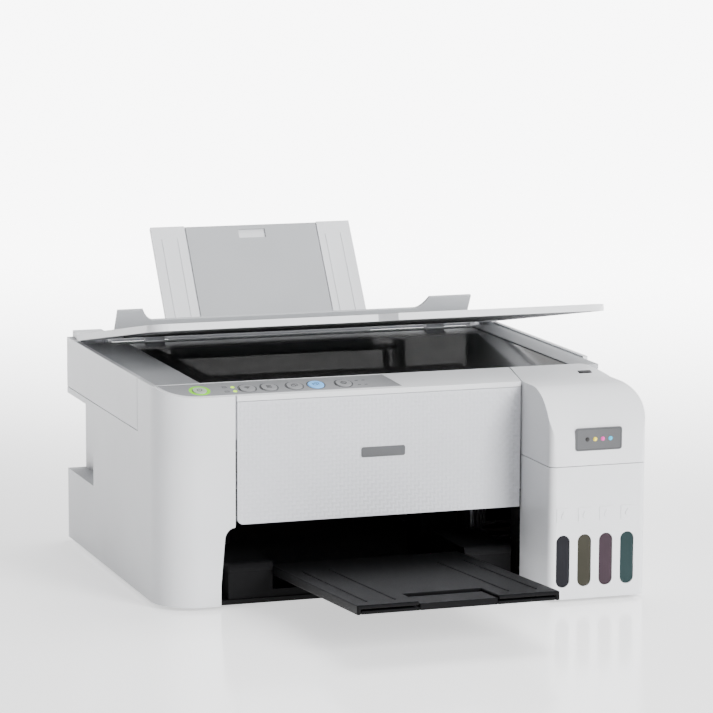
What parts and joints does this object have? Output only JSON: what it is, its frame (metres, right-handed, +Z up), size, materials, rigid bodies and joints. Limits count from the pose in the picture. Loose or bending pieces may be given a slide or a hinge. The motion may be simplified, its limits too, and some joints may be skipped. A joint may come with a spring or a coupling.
{
  "type": "inkjet printer",
  "caption": "Flatbed inkjet printer with side ink tanks, hinged scanner lid, rear sheet feeder and pull-out output tray.",
  "frame": {"origin": "on the table, under the middle of the box round the printer as it stands with its tray out and lid ajar", "axes": "+X to the right seen from the front, +Y to the rear, +Z up"},
  "size_m": [0.375, 0.5609, 0.253],
  "materials": {
    "white_shell": "fine satin moulding",
    "textured_white": "woven embossed moulding",
    "bezel_grey": "satin moulding",
    "strip_grey": "satin moulding",
    "button_grey": "satin moulding",
    "button_blue": "lit translucent moulding",
    "button_green": "lit translucent moulding",
    "light_green": "lit lens",
    "charcoal": "fine grain moulding",
    "rubber_black": "matt",
    "steel": "rolled sheet and ground rod",
    "brass_gear": "machined",
    "gear_white": "moulded",
    "board_green": "solder mask",
    "tube_clear": "silicone tube",
    "dark_glass": "polished",
    "window_smoke": "polished",
    "mat_white": "soft foam sheet",
    "ink_black": "ink seen through the tank",
    "cap_black": "moulded",
    "ink_yellow": "ink seen through the tank",
    "cap_yellow": "moulded",
    "ink_magenta": "ink seen through the tank",
    "cap_magenta": "moulded",
    "ink_cyan": "ink seen through the tank",
    "cap_cyan": "moulded"
  },
  "bodies": {
    "base": {"base_pan": "charcoal", "rubber_feet": "rubber_black", "lower_housing": "white_shell", "tank_lower_cover": "white_shell", "tank_windows": "window_smoke", "ink_tank_black": "ink_black", "ink_tank_yellow": "ink_yellow", "ink_tank_magenta": "ink_magenta", "ink_tank_cyan": "ink_cyan", "ink_tubes": "tube_clear", "main_frame": "steel", "carriage_rail": "steel", "drive_belt": "rubber_black", "carriage_motor": "steel", "feed_motor": "steel", "platen": "charcoal", "feeder_tray": "charcoal", "cap_station": "charcoal", "power_supply": "charcoal", "ac_inlet": "charcoal", "main_board": "board_green", "tray_frame": "charcoal"},
    "carriage": {"carriage": "charcoal", "print_head": "steel"},
    "motor_pulley": {"motor_pulley": "brass_gear"},
    "idler_pulley": {"idler_pulley": "gear_white"},
    "feed_roller": {"feed_roller": "rubber_black"},
    "eject_roller": {"eject_roller": "rubber_black"},
    "transfer_gear": {"transfer_gear": "gear_white"},
    "motor_pinion": {"motor_pinion": "brass_gear"},
    "pinch_roller": {"pinch_roller": "steel"},
    "pickup_roller": {"pickup_roller": "rubber_black"},
    "edge_guide": {"edge_guide": "charcoal"},
    "paper_support": {"paper_support": "white_shell"},
    "support_extension": {"support_extension": "bezel_grey"},
    "output_tray": {"output_tray": "charcoal"},
    "tray_extension": {"tray_extension": "charcoal"},
    "tray_stopper": {"tray_stopper": "charcoal"},
    "scanner": {"scanner_case": "white_shell", "front_panel": "textured_white", "tank_upper_cover": "white_shell", "scanner_bezel": "bezel_grey", "scanner_glass": "dark_glass", "scan_rail": "steel", "control_strip": "strip_grey", "status_lights": "light_green"},
    "scan_head": {"scan_head": "charcoal"},
    "feeder_guard": {"feeder_guard": "bezel_grey"},
    "lid": {"lid_cover": "white_shell", "document_mat": "mat_white"},
    "cap_black": {"tank_cap_black": "cap_black"},
    "cap_yellow": {"tank_cap_yellow": "cap_yellow"},
    "cap_magenta": {"tank_cap_magenta": "cap_magenta"},
    "cap_cyan": {"tank_cap_cyan": "cap_cyan"},
    "power_button": {"power_button": "button_green"},
    "network_button": {"network_button": "button_grey"},
    "info_button": {"info_button": "button_grey"},
    "mono_button": {"mono_button": "button_grey"},
    "colour_button": {"colour_button": "button_blue"},
    "stop_button": {"stop_button": "button_grey"}
  },
  "joints": [
    {"name": "scanner_lift", "type": "hinge", "parent": "base", "child": "scanner", "pos_m": [0, 0.20352, 0.129], "axis": [-1, 0, 0], "range_deg": [0, 20]},
    {"name": "lid_open", "type": "hinge", "parent": "scanner", "child": "lid", "pos_m": [0, 0.17352, 0.1766], "axis": [-1, 0, 0], "range_deg": [-10, 60]},
    {"name": "scan_head_travel", "type": "slide", "parent": "scanner", "child": "scan_head", "axis": [1, 0, 0], "range_m": [0, 0.272]},
    {"name": "guard_tilt", "type": "hinge", "parent": "scanner", "child": "feeder_guard", "pos_m": [0, 0.19512, 0.17], "axis": [-1, 0, 0], "range_deg": [0, 30]},
    {"name": "support_fold", "type": "hinge", "parent": "base", "child": "paper_support", "pos_m": [0, 0.21252, 0.15], "axis": [-1, 0, 0], "range_deg": [-30, 0]},
    {"name": "support_extend", "type": "slide", "parent": "paper_support", "child": "support_extension", "axis": [0, 0.5592, 0.829], "range_m": [0, 0.06]},
    {"name": "carriage_travel", "type": "slide", "parent": "base", "child": "carriage", "axis": [1, 0, 0], "range_m": [-0.07, 0.08]},
    {"name": "motor_pulley_spin", "type": "hinge", "parent": "base", "child": "motor_pulley", "pos_m": [-0.11, 0.10752, 0.106], "axis": [0, 1, 0], "range_deg": [-800, 800]},
    {"name": "idler_pulley_spin", "type": "hinge", "parent": "base", "child": "idler_pulley", "pos_m": [0.08, 0.10752, 0.106], "axis": [0, 1, 0], "range_deg": [-800, 800]},
    {"name": "feed_roller_spin", "type": "hinge", "parent": "base", "child": "feed_roller", "pos_m": [0, 0.06452, 0.06], "axis": [1, 0, 0], "continuous": true},
    {"name": "transfer_gear_spin", "type": "hinge", "parent": "base", "child": "transfer_gear", "pos_m": [-0.131, 0.03752, 0.06], "axis": [1, 0, 0], "continuous": true},
    {"name": "eject_roller_spin", "type": "hinge", "parent": "base", "child": "eject_roller", "pos_m": [0, 0.01052, 0.06], "axis": [1, 0, 0], "continuous": true},
    {"name": "motor_pinion_spin", "type": "hinge", "parent": "base", "child": "motor_pinion", "pos_m": [-0.131, 0.08652, 0.06], "axis": [1, 0, 0], "continuous": true},
    {"name": "pinch_roller_spin", "type": "hinge", "parent": "base", "child": "pinch_roller", "pos_m": [0, 0.06452, 0.072], "axis": [1, 0, 0], "continuous": true},
    {"name": "pickup_roller_spin", "type": "hinge", "parent": "base", "child": "pickup_roller", "pos_m": [0, 0.15852, 0.074], "axis": [1, 0, 0], "continuous": true},
    {"name": "edge_guide_slide", "type": "slide", "parent": "base", "child": "edge_guide", "axis": [-1, 0, 0], "range_m": [0, 0.08]},
    {"name": "tray_slide", "type": "slide", "parent": "base", "child": "output_tray", "axis": [0, -0.9979, 0.0645], "range_m": [-0.15, 0]},
    {"name": "tray_extend", "type": "slide", "parent": "output_tray", "child": "tray_extension", "axis": [0, -0.9979, 0.0645], "range_m": [0, 0.028]},
    {"name": "stopper_flip", "type": "hinge", "parent": "tray_extension", "child": "tray_stopper", "pos_m": [-0.0185, -0.27687, 0.03776], "axis": [1, 0, 0], "range_deg": [0, 80]},
    {"name": "cap_black_hinge", "type": "hinge", "parent": "base", "child": "cap_black", "pos_m": [0.1179, -0.10548, 0.081], "axis": [-1, 0, 0], "range_deg": [0, 70]},
    {"name": "cap_yellow_hinge", "type": "hinge", "parent": "base", "child": "cap_yellow", "pos_m": [0.1358, -0.10548, 0.081], "axis": [-1, 0, 0], "range_deg": [0, 70]},
    {"name": "cap_magenta_hinge", "type": "hinge", "parent": "base", "child": "cap_magenta", "pos_m": [0.1537, -0.10548, 0.081], "axis": [-1, 0, 0], "range_deg": [0, 70]},
    {"name": "cap_cyan_hinge", "type": "hinge", "parent": "base", "child": "cap_cyan", "pos_m": [0.1716, -0.10548, 0.081], "axis": [-1, 0, 0], "range_deg": [0, 70]},
    {"name": "power_button_press", "type": "slide", "parent": "scanner", "child": "power_button", "axis": [0, 0.26, -0.9656], "range_m": [0, 0.001], "stiffness_N_per_m": 150, "springref_m": -0.0005},
    {"name": "network_button_press", "type": "slide", "parent": "scanner", "child": "network_button", "axis": [0, 0.26, -0.9656], "range_m": [0, 0.001], "stiffness_N_per_m": 150, "springref_m": -0.0005},
    {"name": "info_button_press", "type": "slide", "parent": "scanner", "child": "info_button", "axis": [0, 0.26, -0.9656], "range_m": [0, 0.001], "stiffness_N_per_m": 150, "springref_m": -0.0005},
    {"name": "mono_button_press", "type": "slide", "parent": "scanner", "child": "mono_button", "axis": [0, 0.26, -0.9656], "range_m": [0, 0.001], "stiffness_N_per_m": 150, "springref_m": -0.0005},
    {"name": "colour_button_press", "type": "slide", "parent": "scanner", "child": "colour_button", "axis": [0, 0.26, -0.9656], "range_m": [0, 0.001], "stiffness_N_per_m": 150, "springref_m": -0.0005},
    {"name": "stop_button_press", "type": "slide", "parent": "scanner", "child": "stop_button", "axis": [0, 0.26, -0.9656], "range_m": [0, 0.001], "stiffness_N_per_m": 150, "springref_m": -0.0005}
  ],
  "couplings": [
    {"joint": "motor_pulley_spin", "follows": "carriage_travel", "rad_per_m": -142.86},
    {"joint": "idler_pulley_spin", "follows": "carriage_travel", "rad_per_m": -142.86},
    {"joint": "transfer_gear_spin", "follows": "feed_roller_spin", "ratio": -1.4545},
    {"joint": "eject_roller_spin", "follows": "feed_roller_spin", "ratio": 1},
    {"joint": "motor_pinion_spin", "follows": "feed_roller_spin", "ratio": -2.6667},
    {"joint": "pinch_roller_spin", "follows": "feed_roller_spin", "ratio": -1.5217}
  ]
}
